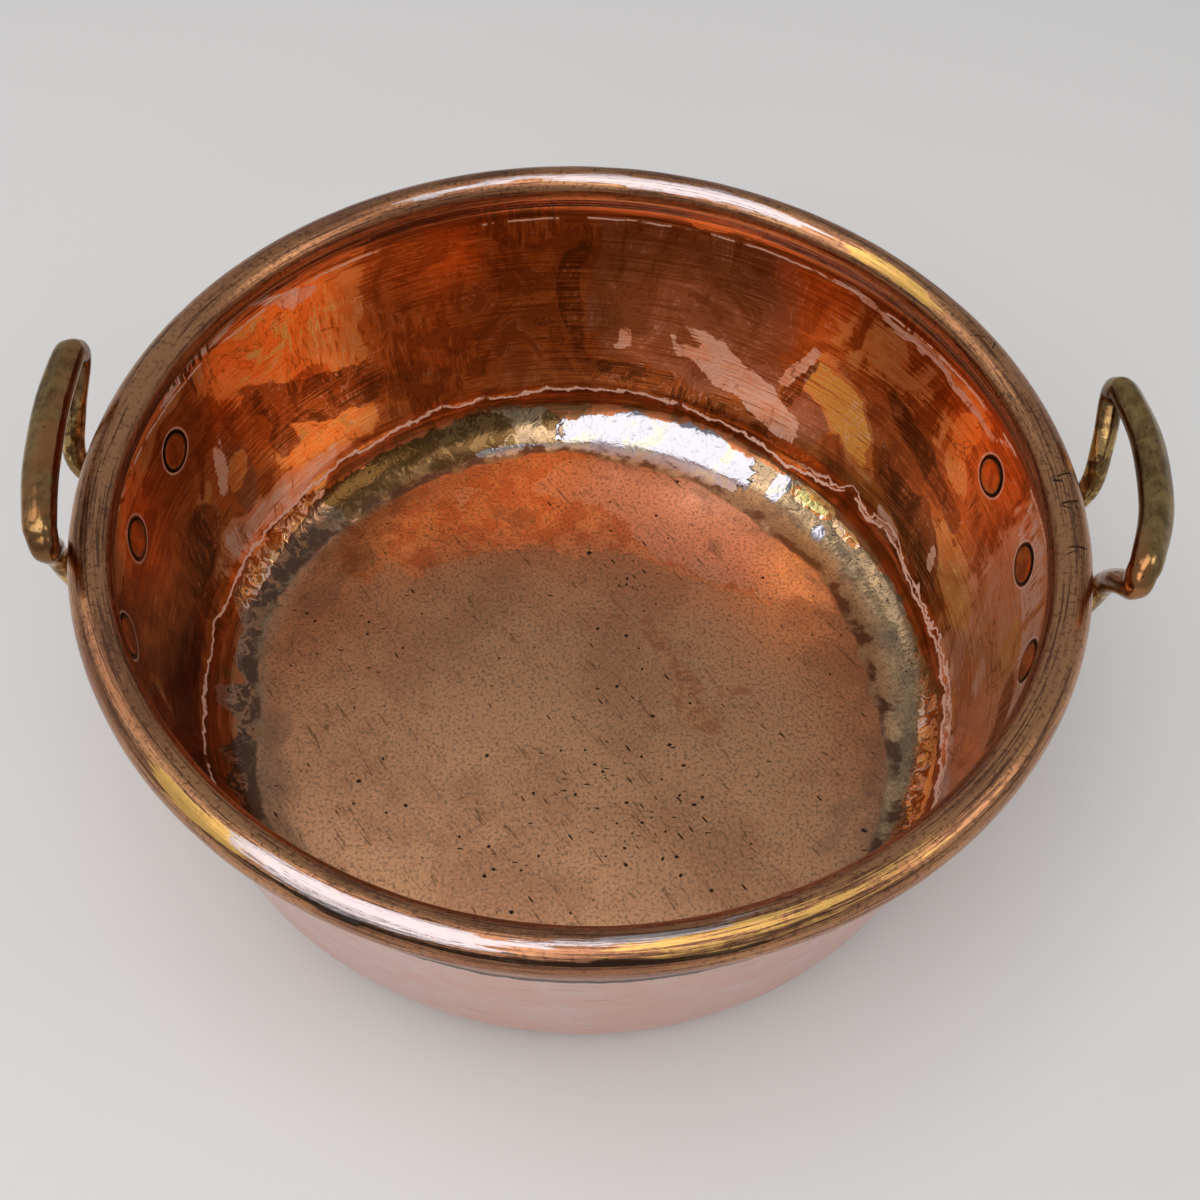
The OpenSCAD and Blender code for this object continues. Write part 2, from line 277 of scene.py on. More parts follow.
# Patches of the floor, the glow and pale ones painted reflections: place of the middle, half the length and half the
# width in millimetres, tilt, strength
FLOOR_GLOW = [
    (44, 20, 30, 6, -64, 0.95), (56, -14, 20, 6, -50, 0.9), (78, -2, 14, 6, 5, 0.7), (-116, 72, 16, 12, -25, 0.7),
]
FLOOR_PALE = [
    (70, 98, 60, 30, -22, 1.1), (22, 124, 46, 18, -6, 1.0), (108, 68, 36, 20, -45, 1.1), (-60, 112, 12, 4, 40, 0.8),
]
FLOOR_DARK = [
    (-32, 100, 12, 5, 0, 1.0), (136, 72, 18, 6, 60, 0.8), (-132, 46, 26, 7, 66, 0.8), (-118, 70, 9, 7, 40, 0.7),
    (14, 129, 8, 3, 0, 0.8), (125, -62, 30, 6, 60, 0.7), (-136, -40, 30, 7, 100, 0.8), (69, 86, 5, 4, 0, 0.9),
    (62, 118, 7, 16, 20, 0.7),
]
# Front of the painted reflection that glows over the floor's back part: x and y in millimetres
FLOOR_FRONT = [
    (-160, 110), (-129, 83), (-92, 70), (-52, 80), (-11, 81), (30, 75), (61, 63), (91, 52), (126, 47), (160, 30),
]
SURFACE_PATCHES = {
    "floor": {"worn": FLOOR_GLOW, "pale": FLOOR_PALE, "dark": FLOOR_DARK},
    "roll": {"worn": ROLL_GLOW, "pale": ROLL_PALE, "dark": ROLL_BLACK},
    "wall": {"worn": WALL_GLOW, "pale": WALL_PALE, "dark": WALL_DARK},
    "tint": {"mauve": WALL_MAUVE, "rose": WALL_ROSE},
}


def warped(point):
    """Moves a point about, so that what is drawn round it gets a wandering outline."""
    push = noise.noise_vector(point / 0.050) * 0.012 + noise.noise_vector(point / 0.018) * 0.006
    return point + push + noise.noise_vector(point / 0.007) * 0.0022


def patch_value(patches, point, s, on_floor):
    """Strongest patch at a point of the sheet: its strength at its middle, half of that at its edge."""
    strongest = 0
    for first, second, half_long, half_wide, tilt, strength in patches:
        if on_floor:
            across = point.x * 1000 - first
            up = point.y * 1000 - second
        else:
            bearing = math.radians(first)
            ahead = point.x * math.cos(bearing) + point.y * math.sin(bearing)
            if ahead < 0.03:
                continue
            aside = point.y * math.cos(bearing) - point.x * math.sin(bearing)
            across = math.atan2(aside, ahead) * PATCH_R
            up = s * 1000 - second
        lean = math.radians(tilt)
        u = abs(across * math.cos(lean) + up * math.sin(lean)) / half_long
        v = abs(up * math.cos(lean) - across * math.sin(lean)) / half_wide
        strongest = max(strongest, strength * (1 - 0.5 * (u ** 3 + v ** 3)))
    return strongest


def patch_values(part, point, s):
    """Value of each kind of patch that a part of the surface has, at a point."""
    patches = SURFACE_PATCHES[part]
    return {name: patch_value(patches[name], point, s, part == "floor") for name in patches}


def patches_at(near, s, bearing):
    """Values of every kind of patch at a point of the near face."""
    moved = warped(near)
    if s < line_at(FLOOR_LINE, bearing):
        # On the floor, the glow value paints the back wall's reflection over the part behind the FLOOR_FRONT line
        front = line_at(FLOOR_FRONT, moved.x * 1000)
        glow = min(1.2, 0.5 + (moved.y - front) / 0.016)
        values = patch_values("floor", moved, s)
        return {**values, "worn": max(glow, values["worn"]), "rose": glow}
    if s > NECK_END + 0.002:
        return patch_values("roll", near, s - ROLL_TOP + (moved.z - near.z) * 0.12)
    reach = min(1, max(0.15, (s - FLOOR_END - 0.020) / 0.030))
    moved = near + (moved - near) * reach
    s += moved.z - near.z
    return {**patch_values("wall", moved, s), **patch_values("tint", near, s)}


def finished_mesh(bm, name):
    bmesh.ops.recalc_face_normals(bm, faces=bm.faces)
    mesh = bpy.data.meshes.new(name)
    bm.to_mesh(mesh)
    bm.free()
    return mesh


def settle(thing, **settings):
    """Gives a thing its settings and gives it back."""
    for name, value in settings.items():
        setattr(thing, name, value)
    return thing


def placed(name, data):
    """New object in the scene that shows or holds the data."""
    made = bpy.data.objects.new(name, data)
    bpy.context.scene.collection.objects.link(made)
    return made


def new_piece(name, mesh, material, node):
    """Puts a finished mesh in the scene as a piece that stands for its node of the frame."""
    mesh.materials.clear()
    mesh.materials.append(material)
    mesh.shade_smooth()
    piece = placed(name, mesh)
    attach(piece, "root")
    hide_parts(node)


def spun(bm, outline, axis, steps, layers):
    """Turns an outline once round an axis. The outline's rows are x, y, z and one value for each layer."""
    chain = []
    for x, y, z, *values in outline:
        vert = bm.verts.new((x, y, z))
        for layer, value in zip(layers, values):
            vert[layer] = value
        chain.append(vert)
    edges = [bm.edges.new(pair) for pair in zip(chain, chain[1:])]
    bmesh.ops.spin(bm, geom=chain + edges, cent=(0, 0, 0), axis=axis, dvec=(0, 0, 0), angle=2 * math.pi,
                   steps=steps, use_merge=True)


SHEET_VALUES = ["along", "outside", "broad", "to_cove", "to_wall", "to_crease", "worn", "pale", "dark", "mauve", "rose"]
# Rings round the pan's axis, and the spacing of the rings across the sheet's two faces
TURNS = 456
NEAR_STEPS = {"floor": 30, "cove": 26, "wall": 50, "neck": 8, "roll": 36}
FAR_STEPS = {"floor": 6, "cove": 8, "wall": 24, "neck": 4, "roll": 12}


def stations(steps):
    ends = [0, FLOOR_END, COVE_END, WALL_END, NECK_END, ROLL_END]
    found = [0.0]
    for (low, high), count in zip(zip(ends, ends[1:]), steps.values()):
        found += [low + (high - low) * (k + 1) / count for k in range(count)]
    return found


def make_pan(material):
    bm = bmesh.new()
    values = {name: bm.verts.layers.float.new(name) for name in SHEET_VALUES}
    along = values["along"]
    outside = values["outside"]
    outline = []
    for steps, far in ((NEAR_STEPS, 0), (FAR_STEPS, 1)):
        for s in reversed(stations(steps)) if far else stations(steps):
            point, way = sheet_at(s)
            point += way * SHEET * far
            outline.append((point.x, 0, point.y, s, far))
    spun(bm, outline, (0, 0, 1), TURNS, [along, outside])
    bmesh.ops.remove_doubles(bm, verts=bm.verts, dist=1e-7)
    for vert in bm.verts:
        s = vert[along]
        point, way = sheet_at(s)
        bearing = math.atan2(vert.co.y, vert.co.x)
        round_way = Vector((math.cos(bearing), math.sin(bearing), 0))
        near = round_way * point.x + Vector((0, 0, point.y))
        push = round_way * way.x + Vector((0, 0, way.y))
        if vert[outside] > 0.5 and s > NECK_END:
            continue
        vert.co += push * sheet_dent(near, s)
        vert[values["broad"]] = 0.5 + 0.38 * noise.noise(near * 17) + 0.19 * noise.noise(near * 41)
        if vert[outside] > 0.5:
            continue
        degrees = bearing_of(near)
        vert[values["to_cove"]] = s - line_at(FLOOR_LINE, degrees)
        vert[values["to_wall"]] = s - line_at(COVE_LINE, degrees)
        vert[values["to_crease"]] = s - line_at(CREASE_LINE, degrees)
        for name, value in patches_at(near, s, degrees).items():
            vert[values[name]] = max(value, -1)
    new_piece("copper_pan", finished_mesh(bm, "copper_pan"), material, "pan_body")


def rivet_frame(side, bearing):
    """Places x = 0 on the wall's inner face at a rivet, with X out through the wall."""
    place = (Matrix.Rotation(bearing, 4, "Z") @ Matrix.Translation((wall_radius(RIVET_Z, 0), 0, RIVET_Z))
             @ Matrix.Rotation(WALL_A, 4, "Y"))
    return Matrix.Scale(side, 4, (1, 0, 0)) @ place


# Outlines of the heads: share of the head's height, share of its radius
FLAT_HEAD = [(0.86, 0.0), (0.84, 0.40), (0.80, 0.70), (0.70, 0.86), (0.50, 0.93), (0.20, 0.97), (0.0, 1.0)]
DOME_HEAD = [(0, 0.97), (0.12, 1), (0.36, 0.93), (0.60, 0.78), (0.80, 0.58), (0.92, 0.38), (0.98, 0.18), (0.99, 0)]
HEAD_STEPS = 56
HEAD_SINK = 0.00006
HEAD_LIP = 0.00005


def make_rivets(name, side, material, node):
    """Three rivets, each turned from one outline: flat head, shank, domed head."""
    bm = bmesh.new()
    dirt = bm.verts.layers.float.new("rim_dirt")
    seat = PLATE_OUT + SEAT_GAP
    flat = [(-FLAT_HEAD_T * x, r) for x, r in FLAT_HEAD] + [(HEAD_LIP, 0.98)]
    outline = [(x - HEAD_SINK, 0, r * FLAT_HEAD_R, smooth_step(0.88, 0.95, r)) for x, r in flat]
    outline += [(0.0, 0, SHANK_R, 0.0), (seat, 0, SHANK_R, 0.0)]
    outline += [(seat + DOME_HEAD_H * x, 0, r * DOME_HEAD_R, smooth_step(0.90, 1.0, r) * 0.5) for x, r in DOME_HEAD]
    for index, bearing in enumerate((-RIVET_A, 0, RIVET_A)):
        spun(bm, outline, (1, 0, 0), HEAD_STEPS, [dirt])
        fresh = [vert for vert in bm.verts if not vert.tag]
        for vert in fresh:
            x, y, z = vert.co
            knock = blows(vert.co + Vector((index, side, 0)), 0.005, 0.00016)
            if x < seat / 2:
                on_head = smooth_step(SHANK_R, SHANK_R * 1.2, math.hypot(y, z)) if x >= 0 else 1
                vert.co.x += (knock * 0.5 if x < -0.0003 else 0) - y ** 2 / (2 * RIVET_R) * on_head
            elif x > seat + DOME_HEAD_H * 0.3:
                vert.co.x -= knock
            vert.tag = True
        bmesh.ops.transform(bm, matrix=rivet_frame(side, bearing), verts=fresh)
    bmesh.ops.remove_doubles(bm, verts=bm.verts, dist=1e-7)
    new_piece(name, finished_mesh(bm, name), material, node)


# Points and sections of a loop, from its foot in the plate to the middle of its grip
FOOT_LIFT = 0.003
FOOT_SINK = 0.002
FOOT_OUT = 0.010
FOOT_Z = RIVET_Z + FOOT_LIFT
FOOT_FACE = wall_radius(FOOT_Z, PLATE_OUT)
FOOT_A = math.asin(FOOT_Y / FOOT_FACE)
FOOT_DIR = Vector((OUTWARD.x * math.cos(FOOT_A), OUTWARD.x * math.sin(FOOT_A), OUTWARD.y))
FOOT_TOP = Vector((FOOT_FACE * math.cos(FOOT_A), FOOT_FACE * math.sin(FOOT_A), FOOT_Z))
FOOT_SWELL = 0.0005
CORNER_SWELL = 0.0003
KNEE_IN = 0.001
KNEE_DROP = 0.002
NECKING_W = 0.0006
NECKING_T = 0.0003
LOOP_STEPS = 10
LOOP_SIDES = 36


def loop_half(reach, rise, bow, turn):
    """Back half of a loop: a list of points, each with half its width and half its thickness."""
    grip_z = pan_high.z + rise
    corner_y = GRIP_L / 2
    corner = LEG_R + CORNER_SWELL
    ease = CORNER_R * (1 - math.cos(math.radians(45)))

    def grip_x(y):
        return RIM_R + reach - bow * (y / corner_y) ** 2

    def turned(point, angle):
        x = point[0] - FOOT_FACE
        a = math.radians(angle)
        return Vector((FOOT_FACE + x * math.cos(a) + point[1] * math.sin(a),
                       point[1] * math.cos(a) - x * math.sin(a), point[2]))

    elbow = Vector((RIM_R + ELBOW_OUT, FOOT_Y, pan_high.z - ELBOW_DROP))
    halfway = (elbow + Vector((grip_x(corner_y), corner_y, grip_z))) / 2
    knee = halfway - Vector((0, KNEE_IN, KNEE_DROP))
    neck_y = corner_y - CORNER_R
    return [
        (FOOT_TOP - FOOT_DIR * FOOT_SINK, FOOT_R, FOOT_R),
        (FOOT_TOP + FOOT_DIR * FOOT_OUT, LEG_R + FOOT_SWELL, LEG_R + FOOT_SWELL),
        (turned(elbow, turn / 2), LEG_R, LEG_R),
        (turned(knee, turn), LEG_R, LEG_R),
        (turned((grip_x(corner_y), corner_y, grip_z - CORNER_R), turn), corner, corner),
        (turned((grip_x(corner_y - ease), corner_y - ease, grip_z - ease), turn),
         (LEG_R + GRIP_W / 2) / 2, (LEG_R + GRIP_T / 2) / 2),
        (turned((grip_x(neck_y), neck_y, grip_z), turn), GRIP_W / 2 - NECKING_W, GRIP_T / 2 - NECKING_T),
        (turned((grip_x(corner_y / 3), corner_y / 3, grip_z), turn), GRIP_W / 2, GRIP_T / 2),
    ]


def smooth_run(controls):
    """Smooth curve through the control points, with its sections carried along."""
    rows = [Vector((*point, w, t)) for point, w, t in controls]
    rows = [2 * rows[0] - rows[1]] + rows + [2 * rows[-1] - rows[-2]]
    run = []
    for a, b, c, d in zip(rows, rows[1:], rows[2:], rows[3:]):
        for k in range(LOOP_STEPS):
            t = k / LOOP_STEPS
            run.append(0.5 * (2 * b + (c - a) * t + (2 * a - 5 * b + 4 * c - d) * t ** 2
                              + (3 * b - a - 3 * c + d) * t ** 3))
    run.append(rows[-2])
    return [(Vector(row[:3]), row[3], row[4]) for row in run]


def section_frame(run, i, middle):
    """Turns and sizes a unit circle into the loop's section at one step of its run."""
    point, half_w, half_t = run[i]
    ahead = run[min(i + 1, len(run) - 1)][0]
    behind = run[max(i - 1, 0)][0]
    way = (ahead - behind).normalized()
    away = point - middle
    thick = (away - way * away.dot(way)).normalized()
    wide = way.cross(thick)
    rows = Matrix((thick * half_t, wide * half_w, way)).transposed().to_4x4()
    rows.translation = point
    return rows


def sweep_loop(bm, run, middle):
    """Extrudes a rounded section from step to step along the run, and caps both ends."""
    ring = bmesh.ops.create_circle(bm, segments=LOOP_SIDES, radius=1)["verts"]
    for vert in ring:
        angle = math.atan2(vert.co.y, vert.co.x)
        crease = 0.045 * bump_at(0, 0.6, (angle - 0.5 + math.pi) % (2 * math.pi) - math.pi)
        flat = 0.03 * math.cos(4 * angle)
        vert.co *= 1 - flat + crease - 0.035
    edges = list({edge for vert in ring for edge in vert.link_edges})
    bmesh.ops.contextual_create(bm, geom=edges)
    before = section_frame(run, 0, middle)
    bmesh.ops.transform(bm, matrix=before, verts=ring)
    for i in range(1, len(run)):
        made = bmesh.ops.extrude_edge_only(bm, edges=edges)["geom"]
        verts = [item for item in made if isinstance(item, bmesh.types.BMVert)]
        edges = [item for item in made if isinstance(item, bmesh.types.BMEdge)
                 and all(vert in verts for vert in item.verts)]
        after = section_frame(run, i, middle)
        bmesh.ops.transform(bm, matrix=after @ before.inverted(), verts=verts)
        before = after
    bmesh.ops.contextual_create(bm, geom=edges)


def spin_arc(bm, vert, centre, turn, steps):
    """Carries a vertex round a centre and gives back the last one of the arc."""
    made = bmesh.ops.spin(bm, geom=[vert], cent=(0, centre[0], centre[1]), axis=(1, 0, 0), dvec=(0, 0, 0),
                          angle=turn, steps=steps)
    return made["geom_last"][0]


def add_plate(bm):
    """Three-lobed plate, cut flat along Y and Z, then laid on the cone of the wall."""
    waist_r = (FOOT_Y ** 2 + WAIST_H ** 2 - LOBE_R ** 2) / (2 * (LOBE_R - WAIST_H))
    waist = (FOOT_Y, WAIST_H + waist_r)
    lean = math.atan2(waist[1], waist[0])
    plate = bmesh.new()
    end = plate.verts.new((0, LOBE_Y + LOBE_R, 0))
    end = spin_arc(plate, end, (LOBE_Y, 0), math.pi - lean, 22)
    end = spin_arc(plate, end, waist, -(math.pi - 2 * lean), 12)
    spin_arc(plate, end, (0, 0), math.pi / 2 - lean, 10)
    for axis in ("Y", "Z"):
        bmesh.ops.mirror(plate, geom=plate.verts[:] + plate.edges[:], axis=axis, merge_dist=1e-6)
    bmesh.ops.remove_doubles(plate, verts=plate.verts, dist=1e-6)
    bmesh.ops.contextual_create(plate, geom=plate.edges[:])
    made = bmesh.ops.extrude_face_region(plate, geom=plate.faces[:])["geom"]
    top = [item for item in made if isinstance(item, bmesh.types.BMVert)]
    bmesh.ops.translate(plate, vec=(PLATE_T, 0, 0), verts=top)
    rim = [edge for edge in plate.edges if all(vert in top for vert in edge.verts)]
    bmesh.ops.bevel(plate, geom=rim, offset=0.0011, offset_type="OFFSET", segments=3, profile=0.5,
                    affect="EDGES", material=-1, clamp_overlap=True)
    cuts = int(2 * (LOBE_Y + LOBE_R) / 0.003)
    for k in range(1, cuts):
        y = (LOBE_Y + LOBE_R) * (2 * k / cuts - 1)
        bmesh.ops.bisect_plane(plate, geom=plate.verts[:] + plate.edges[:] + plate.faces[:], dist=1e-6,
                               plane_co=(0, y, 0), plane_no=(0, 1, 0))
    for vert in plate.verts:
        out = PLATE_IN + vert.co.x
        z = RIVET_Z + vert.co.z
        vert.co = (math.sqrt(wall_radius(z, out) ** 2 - vert.co.y ** 2), vert.co.y, z)
    mesh = finished_mesh(plate, "plate")
    bm.from_mesh(mesh)
    bpy.data.meshes.remove(mesh)


CAST_GRAIN = 0.0006


def make_handle(name, side, reach, rise, bow, turn, material):
    """Loop and plate fused as one casting, drilled for its rivets."""
    back = loop_half(reach, rise, bow, turn)
    front = [(Vector((p.x, -p.y, p.z)), w, t) for p, w, t in reversed(loop_half(reach, rise, bow, -turn))]
    bm = bmesh.new()
    sweep_loop(bm, smooth_run(back + front), Vector((RIM_R, 0, pan_high.z - ELBOW_DROP / 2)))
    add_plate(bm)
    if side < 0:
        bmesh.ops.scale(bm, vec=(-1, 1, 1), verts=bm.verts)
    casting = placed(name + "_rough", finished_mesh(bm, name + "_rough"))
    drills = make_drills(side)
    settle(casting.modifiers.new("fused", "REMESH"), mode="VOXEL", voxel_size=CAST_GRAIN)
    settle(casting.modifiers.new("drilled", "BOOLEAN"), operation="DIFFERENCE", object=drills, solver="EXACT")
    settle(casting.modifiers.new("faired", "SMOOTH"), factor=0.5, iterations=3)
    graph = bpy.context.evaluated_depsgraph_get()
    mesh = bpy.data.meshes.new_from_object(casting.evaluated_get(graph))
    mesh.name = name
    for scrap in (casting, drills):
        data = scrap.data
        bpy.data.objects.remove(scrap)
        bpy.data.meshes.remove(data)
    new_piece(name + "_casting", mesh, material, name)


def make_drills(side):
    """Three cylinders that cut the rivet holes through a plate."""
    bm = bmesh.new()
    for bearing in (-RIVET_A, 0, RIVET_A):
        made = bmesh.ops.create_cone(bm, cap_ends=True, segments=32, radius1=SHANK_R + SEAT_GAP,
                                     radius2=SHANK_R + SEAT_GAP, depth=0.012)["verts"]
        bmesh.ops.transform(bm, matrix=rivet_frame(side, bearing) @ Matrix.Translation((PLATE_OUT / 2, 0, 0))
                            @ Matrix.Rotation(math.pi / 2, 4, "Y"), verts=made)
    return placed("drills", finished_mesh(bm, "drills"))


# Helpers that add shader nodes, each to the node tree that its inputs come from
def add_node(kind, inputs, tree=None, **settings):
    if tree is None:
        tree = next(value.id_data for value in inputs.values() if isinstance(value, bpy.types.NodeSocket))
    made = settle(tree.nodes.new("ShaderNode" + kind), **settings)
    for name, value in inputs.items():
        if isinstance(value, bpy.types.NodeSocket):
            tree.links.new(value, made.inputs[name])
        else:
            made.inputs[name].default_value = value
    return made


def maths(operation, *values, clamp=False):
    return add_node("Math", dict(enumerate(values)), operation=operation, use_clamp=clamp).outputs[0]


def chained(operation, values):
    """One value from several, two at a time."""
    found, *others = values
    for value in others:
        found = maths(operation, found, value)
    return found


def product(*values):
    return chained("MULTIPLY", values)


def largest(*values):
    return chained("MAXIMUM", values)


def total(*terms):
    """Sum of values, each given alone or with a factor."""
    return chained("ADD", [product(*term) if isinstance(term, tuple) else term for term in terms])


def swing(cloud, reach):
    """What a cloud adds when it moves a value both ways about its middle."""
    return product(maths("SUBTRACT", cloud, 0.5), reach)


def remap(value, low, high, to_low=0.0, to_high=1.0):
    """Soft step from one value to another between two limits."""
    ends = {"From Min": low, "From Max": high, "To Min": to_low, "To Max": to_high}
    return add_node("MapRange", {"Value": value, **ends}, interpolation_type="SMOOTHSTEP").outputs["Result"]


def band(value, low, high, soft):
    """One between two limits, zero outside them, with soft ends."""
    return product(remap(value, low - soft, low + soft), remap(value, high - soft, high + soft, 1.0, 0.0))


def vector_maths(operation, *values):
    return add_node("VectorMath", dict(enumerate(values)), operation=operation).outputs


def vector(x, y, z=0.0):
    return add_node("CombineXYZ", {0: x, 1: y, 2: z}).outputs[0]


def mix_value(mask, below, above):
    return add_node("Mix", {0: mask, 2: below, 3: above}).outputs[0]


def mix_colour(mask, below, above):
    below, above = ((*value, 1) if isinstance(value, tuple) else value for value in (below, above))
    return add_node("Mix", {0: mask, 6: below, 7: above}, data_type="RGBA").outputs[2]


def fade(value, low, high, below, above):
    """Colour that goes from one to another as a value passes from a low to a high limit."""
    return mix_colour(remap(value, low, high), below, above)


def layered(colour, *layers):
    """Lays colours over one another, each through its mask."""
    for mask, above in layers:
        colour = mix_colour(mask, colour, above)
    return colour


def clouds(place, scale, detail=3.0, roughness=0.55, distortion=0.0):
    return add_node("TexNoise", {"Vector": place, "Scale": scale, "Detail": detail, "Roughness": roughness,
                                 "Distortion": distortion}).outputs["Fac"]


def stretched_cloud(x, y, z, across, up, detail=3.0, roughness=0.6):
    return clouds(vector(product(x, across), product(y, across), product(z, up)), 1.0, detail, roughness)


def mask_group(name, build, **inputs):
    """Builds a group whose output is a mask, and gives back a function that adds it with its inputs."""
    group = bpy.data.node_groups.new(name, "ShaderNodeTree")
    for socket, value in inputs.items():
        kind = "NodeSocketVector" if value is None else "NodeSocketFloat"
        made = group.interface.new_socket(socket, in_out="INPUT", socket_type=kind)
        if value is not None:
            made.default_value = value
    group.interface.new_socket("Mask", in_out="OUTPUT", socket_type="NodeSocketFloat")
    given = group.nodes.new("NodeGroupInput").outputs
    group.links.new(build(given), group.nodes.new("NodeGroupOutput").inputs["Mask"])

    def add(*values):
        return add_node("Group", dict(zip(inputs, values)), node_tree=group).outputs["Mask"]

    return add


def build_pits(given):
    """Dark specks of many sizes where the metal has pitted."""
    cells = add_node("TexVoronoi", {"Vector": given["Vector"], "Scale": given["Scale"]}).outputs
    parts = add_node("SeparateColor", {"Color": cells["Color"]}).outputs
    chosen = maths("LESS_THAN", parts["Green"], given["Share"])
    past = maths("SUBTRACT", cells["Distance"], product(parts["Red"], given["Size"]))
    return product(remap(past, 0.0, 0.05, 1.0, 0.0), chosen)


def build_threads(given):
    """Thin wandering lines, where a cloud passes through its middle value."""
    gap = maths("ABSOLUTE", maths("SUBTRACT", given["Cloud"], given["Middle"]))
    return remap(maths("DIVIDE", gap, given["Width"]), 0.5, 1.5, 1.0, 0.0)


pits = mask_group("pits", build_pits, Vector=None, Scale=200.0, Size=0.2, Share=0.3)
threads = mask_group("threads", build_threads, Cloud=0.5, Middle=0.5, Width=0.01)


def nick(place, along, bearing, middle, lean, length, width):
    """Short straight mark, at a bearing and a distance along the sheet."""
    turned = add_node("VectorRotate", {"Vector": place, "Angle": -bearing}, rotation_type="Z_AXIS").outputs[0]
    parts = add_node("SeparateXYZ", {0: turned}).outputs
    up = maths("SUBTRACT", along, middle)
    aside = maths("ABSOLUTE", maths("SUBTRACT", parts["Y"], product(up, lean)))
    narrow = remap(aside, 0.4 * width, 1.2 * width, 1.0, 0.0)
    short = remap(maths("ABSOLUTE", up), 0.6 * length, 1.2 * length, 1.0, 0.0)
    return product(narrow, short, maths("GREATER_THAN", parts["X"], 0.0))


def torn(value, tear, softness):
    """Turns a soft patch value into a mask whose edge is torn by a cloud."""
    return remap(maths("ADD", value, tear), 0.5 - softness, 0.5 + softness)


def torn_masks(sheet, tear, **softness):
    return [torn(getattr(sheet, name), tear, soft) for name, soft in softness.items()]


def piece_attribute(tree, name):
    return add_node("Attribute", {}, tree, attribute_name=name).outputs["Fac"]


def object_place(tree):
    """A point's place on its piece, whole and as x, y and z."""
    place = add_node("TexCoord", {}, tree).outputs["Object"]
    return place, *add_node("SeparateXYZ", {0: place}).outputs


def metal(colour, roughness, height, bare=1.0):
    """Metal with a colour, a roughness, a height in millimetres and, where it is dulled, a share of bare metal."""
    bump = add_node("Bump", {"Height": height, "Distance": 0.001}).outputs[0]
    return add_node("BsdfPrincipled", {"Base Color": colour, "Roughness": roughness, "Normal": bump,
                                       "Metallic": bare}).outputs[0]


def new_material(name, shade):
    """Material whose surface is what the shade function adds to its tree."""
    material = bpy.data.materials.new(name)
    material.use_nodes = True
    tree = material.node_tree
    tree.nodes.clear()
    add_node("OutputMaterial", {"Surface": shade(tree)})
    return material


# Colours of the metals, their tarnish and dirt, of painted highlights, glow and shade, and of the table
DEEP_COPPER = (0.80, 0.34, 0.10)
RUDDY_COPPER = (0.50, 0.19, 0.06)
BRIGHT_COPPER = (1.0, 0.60, 0.23)
GOLDEN_COPPER = (1.0, 0.52, 0.09)
ORANGE_COPPER = (0.96, 0.42, 0.12)
# Colour of painted highlights: streaks on the wall and a ring round each rivet
HIGHLIGHT_COPPER = (1.0, 0.88, 0.84)
PALE_COPPER = (1.0, 0.80, 0.72)
LINE_COPPER = (1.0, 0.72, 0.62)
HOT_COPPER = (0.95, 0.26, 0.06)
ROSE_COPPER = (1.0, 0.57, 0.38)
WARM_COPPER = (0.95, 0.44, 0.20)
MAUVE_COPPER = (0.52, 0.27, 0.18)
BROWN_COPPER = (0.27, 0.11, 0.04)
# Dark tarnish of the wall, darkened further as painted shade
TARNISH_AND_SHADE_COPPER = (0.17, 0.07, 0.025)
RED_COPPER = (0.48, 0.15, 0.055)
# Silvery and creamy colours of the cove's painted highlight
SILVERY_COPPER = (0.43, 0.41, 0.455)
CREAMY_COPPER = (0.50, 0.45, 0.36)
STRAW_COPPER = (0.62, 0.52, 0.20)
OLIVE_TARNISH = (0.17, 0.085, 0.032)
KHAKI_TARNISH = (0.29, 0.155, 0.065)
# Colour of the cove's painted golden glints
GOLD_GLINT = (0.95, 0.62, 0.32)
TAN_TARNISH = (0.50, 0.33, 0.18)
DUN_TARNISH = (0.31, 0.215, 0.13)
ASH_TARNISH = (0.46, 0.27, 0.19)
BLACK_OLIVE = (0.11, 0.054, 0.016)
HONEY_TARNISH = (0.19, 0.105, 0.04)
DARK_HONEY = (0.11, 0.055, 0.02)
UMBER_TARNISH = (0.40, 0.195, 0.10)
FLOOR_TAN = (0.56, 0.285, 0.145)
FLOOR_BROWN = (0.44, 0.21, 0.105)
# Orange, amber and pink are the floor's painted glow, pink also its specks
FLOOR_ORANGE = (0.50, 0.18, 0.08)
FLOOR_AMBER = (0.72, 0.33, 0.15)
FLOOR_PINK = (0.66, 0.38, 0.27)
# Grey tarnish, also painted shade towards the floor's edge
GREY_TARNISH_AND_SHADE = (0.20, 0.125, 0.085)
ROLL_BROWN = (0.38, 0.168, 0.088)
ROLL_GOLD = (0.54, 0.262, 0.125)
# Amber paints glow on the roll, pearl paints its highlights
ROLL_AMBER = (0.82, 0.47, 0.12)
ROLL_DARK = (0.16, 0.075, 0.045)
ROLL_PEARL = (0.47, 0.40, 0.405)
OUTER_PINK = (0.76, 0.53, 0.47)
OUTER_ROSE = (0.76, 0.46, 0.38)
SOOTY_TARNISH = (0.13, 0.07, 0.045)
# Black dirt, also painted shadow under the roll and painted dark lines of reflection
BLACK_DIRT_AND_SHADE = (0.018, 0.012, 0.009)
BRASS_OLIVE = (0.26, 0.165, 0.065)
BRASS_GOLD = (0.78, 0.52, 0.20)
BRASS_BROWN = (0.15, 0.08, 0.033)
BRASS_RED = (0.42, 0.17, 0.065)
IRON_GREY = (0.30, 0.28, 0.27)
IRON_RUST = (0.16, 0.09, 0.06)
TABLE_WHITE = (0.74, 0.73, 0.72)
TABLE_GREY = (0.70, 0.69, 0.68)

